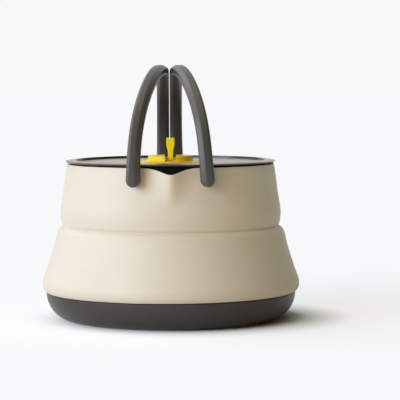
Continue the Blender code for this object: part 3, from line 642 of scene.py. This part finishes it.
def makeTab():
    right = []
    for share, spread in tab["outline"]:
        half = (tab["stem"] + (tab["head"] - tab["stem"]) * spread) / 2
        right.append(Vector((half, tab["front"], tab["foot"] + tab["height"] * share)) * mm)
    shape = bmesh.new()
    points = [shape.verts.new(point) for point in right]
    points += [shape.verts.new((-point.x, point.y, point.z)) for point in reversed(right)]
    pushed = bmesh.ops.extrude_face_region(shape, geom=[shape.faces.new(points)])["geom"]
    moved = [item for item in pushed if isinstance(item, bmesh.types.BMVert)]
    bmesh.ops.translate(shape, verts=moved, vec=(0, (tab["rear"] - tab["front"]) * mm, 0))
    # The lower rear edge is rounded about the pin, so that the tab can fold back.
    lowRear = Vector((0, tab["rear"], tab["foot"])) * mm
    middles = {edge: (edge.verts[0].co + edge.verts[1].co) / 2 for edge in shape.edges}
    heel = min(middles, key=lambda edge: (middles[edge] - lowRear).length)
    bmesh.ops.bevel(
        shape, geom=[heel], offset=tab["heel"] * mm, affect="EDGES", segments=tab["heelSteps"],
        profile=0.5, material=-1,
    )
    piece = finished(shape, "liftTab", tabYellowPaintedLight)
    cutPinBore(piece, -tab["boreHalf"], tab["boreHalf"])
    settle(piece)
    soften(piece, *tab["edge"])
    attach(piece, "tab")
    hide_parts("lift_tab")


makeKnob()
makeTab()
print("knob and tab made")

# The small steel parts keep their own shape.
for name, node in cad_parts.items():
    if name.startswith(("pivot_pin", "pivot_washer", "knob_screw", "tab_pin")):
        node.data.materials.clear()
        node.data.materials.append(steel)
print("steel parts finished")

studio = {   # a lamp's turn is from the front towards the left
    "floorSize": 12000, "floorColour": (0.96, 0.94, 0.88), "floorBounce": (0.84, 0.79, 0.68),
    "glow": 0.45, "glowLevel": 1.25, "glowFrom": 62, "glowTo": 94, "glowCentre": (14, 4, 0),
    "backdrop": 0.94, "fill": 0.08, "fillColour": (1.15, 1.0, 0.55),
    "room": 0.22, "roomAim": (-0.8, 1, 0), "roomEdge": (-0.3, 0.4), "lampWidth": 50,
    "lamps": {
        "frontLamp": {"turn": 30, "height": 12, "level": 0.29, "colour": (1.42, 1.0, 0.45)},
        "sideLamp": {"turn": 57, "height": 12, "level": 0.77, "colour": (0.77, 1.0, 1.55)},
        "backLamp": {"turn": 120, "height": 45, "level": 0.3, "colour": (1.0, 1.0, 1.2)},
        "topLamp": {"turn": 0, "height": 80, "level": 0.2, "colour": (0.9, 1.0, 1.1)},
    },
    "notInShine": ("frontLamp",),   # its warm tint stays out of reflections
}
view = {   # focal, axisX and horizonY are in pixels of the picture
    "distance": 1200, "height": 147.3, "focal": 2034, "axisX": 170.6, "horizonY": 68.9,
    "picture": 400, "sensor": 36, "roll": -0.2, "near": 50, "far": 60000,
}


def larger(owner, first, second):   # 1 where either of them is
    either = addNode(owner, "ShaderNodeMath", operation="MAXIMUM")
    join(owner, first, either.inputs[0])
    join(owner, second, either.inputs[1])
    return either.outputs[0]


def mixed(owner, share, first, second):
    mix = addNode(owner, "ShaderNodeMixShader")
    join(owner, share, mix.inputs["Fac"])
    join(owner, first, mix.inputs[1])
    join(owner, second, mix.inputs[2])
    return mix.outputs[0]


def lightNode(owner, kind, colour, **values):
    return addNode(owner, kind, Color=(*colour, 1), **values).outputs[0]


def makeFloor():   # pale where it is seen, with the object's shadow on it
    shape = bmesh.new()
    bmesh.ops.create_grid(shape, x_segments=1, y_segments=1, size=studio["floorSize"] * mm)
    material = bpy.data.materials.new("studioFloor")
    material.use_nodes = True
    nodes = material.node_tree.nodes
    nodes.remove(nodes["Principled BSDF"])
    aside = addNode(material, "ShaderNodeVectorMath", operation="SUBTRACT")
    aside.inputs[1].default_value = [side * mm for side in studio["glowCentre"]]
    away = addNode(material, "ShaderNodeVectorMath", operation="LENGTH")
    join(material, addNode(material, "ShaderNodeTexCoord").outputs["Object"], aside.inputs[0])
    join(material, aside.outputs[0], away.inputs[0])
    edge = (studio["glowFrom"] * mm, studio["glowTo"] * mm)
    share = span(material, away.outputs["Value"], 0, studio["glow"], *edge)
    pale = lightNode(material, "ShaderNodeBsdfDiffuse", studio["floorColour"])
    bounce = lightNode(material, "ShaderNodeBsdfDiffuse", studio["floorBounce"])
    glow = lightNode(material, "ShaderNodeEmission", (1, 1, 1), Strength=studio["glowLevel"])
    rays = addNode(material, "ShaderNodeLightPath").outputs
    direct = larger(material, rays["Is Camera Ray"], rays["Is Glossy Ray"])
    seen = larger(material, direct, rays["Is Transmission Ray"])
    surface = mixed(material, seen, bounce, mixed(material, share, pale, glow))
    join(material, surface, nodes["Material Output"].inputs["Surface"])
    finished(shape, "studioFloor", material)


def makeWorld():   # white behind the object, in reflections too, with a dim room behind the camera
    world = bpy.data.worlds.new("studio")
    bpy.context.scene.world = world
    world.use_nodes = True
    nodes = world.node_tree.nodes
    nodes.remove(nodes["Background"])
    fill = lightNode(world, "ShaderNodeBackground", studio["fillColour"], Strength=studio["fill"])
    bright = lightNode(world, "ShaderNodeBackground", (1, 1, 1), Strength=studio["backdrop"])
    room = lightNode(world, "ShaderNodeBackground", (1, 1, 1), Strength=studio["room"])
    facing = addNode(world, "ShaderNodeVectorMath", operation="DOT_PRODUCT")
    facing.inputs[1].default_value = studio["roomAim"]
    join(world, addNode(world, "ShaderNodeTexCoord").outputs["Generated"], facing.inputs[0])
    share = span(world, facing.outputs["Value"], 0, 1, *studio["roomEdge"])
    around = mixed(world, share, room, bright)
    rays = addNode(world, "ShaderNodeLightPath").outputs
    seen = larger(world, rays["Is Camera Ray"], rays["Is Transmission Ray"])
    surface = mixed(world, seen, mixed(world, rays["Is Glossy Ray"], fill, around), bright)
    join(world, surface, nodes["World Output"].inputs["Surface"])


def makeLamps():
    for name, values in studio["lamps"].items():
        lamp = bpy.data.lights.new(name, "SUN")
        lamp.energy = values["level"] * math.pi
        lamp.color = values["colour"]
        lamp.angle = math.radians(studio["lampWidth"])
        turn, height = math.radians(values["turn"]), math.radians(values["height"])
        flat = math.cos(height)
        toLamp = Vector((-math.sin(turn) * flat, -math.cos(turn) * flat, math.sin(height)))
        body = bpy.data.objects.new(name, lamp)
        body.rotation_euler = toLamp.to_track_quat("Z", "Y").to_euler()
        body.visible_glossy = name not in studio["notInShine"]
        bpy.context.scene.collection.objects.link(body)


def makeCamera():
    camera = bpy.data.cameras.new("camera")
    camera.lens = view["focal"] / view["picture"] * view["sensor"]
    camera.sensor_width = view["sensor"]
    camera.clip_start = view["near"] * mm
    camera.clip_end = view["far"] * mm
    centre = view["picture"] / 2
    yaw = math.atan((centre - view["axisX"]) / view["focal"])
    pitch = math.atan((centre - view["horizonY"]) / view["focal"])
    flat = math.cos(pitch)
    aim = Vector((math.sin(yaw) * flat, math.cos(yaw) * flat, -math.sin(pitch)))
    roll = Matrix.Rotation(math.radians(view["roll"]), 4, "Z")
    body = bpy.data.objects.new("camera", camera)
    body.location = (0, -view["distance"] * mm, view["height"] * mm)
    body.rotation_euler = (aim.to_track_quat("-Z", "Y").to_matrix().to_4x4() @ roll).to_euler()
    bpy.context.scene.collection.objects.link(body)
    bpy.context.scene.camera = body


makeFloor()
makeWorld()
makeLamps()
makeCamera()
bpy.context.scene.view_settings.view_transform = "Standard"
print("studio made")
